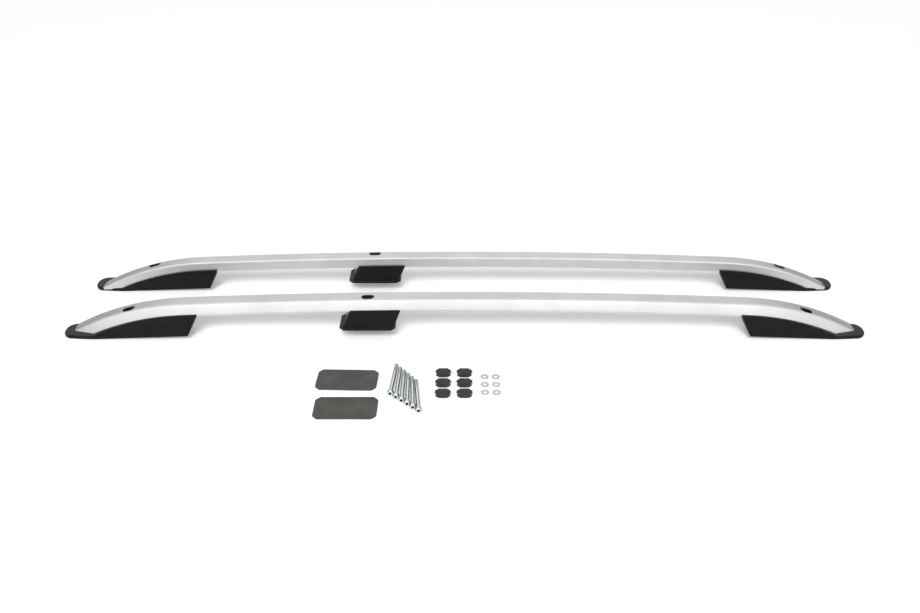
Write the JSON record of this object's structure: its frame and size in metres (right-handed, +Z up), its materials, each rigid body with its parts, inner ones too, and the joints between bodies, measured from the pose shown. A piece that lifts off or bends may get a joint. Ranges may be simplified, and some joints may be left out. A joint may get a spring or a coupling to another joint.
{
  "type": "roof side rail pair",
  "caption": "Pair of arched silver roof side rails on black moulded feet, laid out with their own loose bolts, washers, hole caps and foot pads.",
  "frame": {"origin": "on the floor, at the middle of the whole set's box as it is laid out", "axes": "+X along the rails towards their rear ends, +Y from the left rail to the right rail, +Z up"},
  "size_m": [1.83, 0.5634, 0.0949],
  "materials": {
    "rail_metal": "satin silver anodised",
    "foot_plastic": "fine grained satin black",
    "gasket_rubber": "matt black rubber",
    "pad_rubber": "matt dark grey foam rubber",
    "cap_plastic": "satin black",
    "zinc_steel": "bright zinc plated"
  },
  "bodies": {
    "root": {"left_rail": "rail_metal", "left_front_foot": "foot_plastic", "left_middle_foot": "foot_plastic", "left_rear_foot": "foot_plastic", "left_front_gasket": "gasket_rubber", "left_rear_gasket": "gasket_rubber", "left_front_sleeve": "zinc_steel", "left_middle_sleeve": "zinc_steel", "left_rear_sleeve": "zinc_steel", "left_foot_screws": "zinc_steel", "left_middle_pad": "pad_rubber", "right_rail": "rail_metal", "right_front_foot": "foot_plastic", "right_middle_foot": "foot_plastic", "right_rear_foot": "foot_plastic", "right_front_gasket": "gasket_rubber", "right_rear_gasket": "gasket_rubber", "right_front_sleeve": "zinc_steel", "right_middle_sleeve": "zinc_steel", "right_rear_sleeve": "zinc_steel", "right_foot_screws": "zinc_steel", "right_middle_pad": "pad_rubber", "hole_cap_1": "cap_plastic", "hole_cap_2": "cap_plastic", "hole_cap_3": "cap_plastic", "hole_cap_4": "cap_plastic", "hole_cap_5": "cap_plastic", "hole_cap_6": "cap_plastic", "roof_bolts": "zinc_steel", "washers": "zinc_steel"}
  },
  "joints": []
}
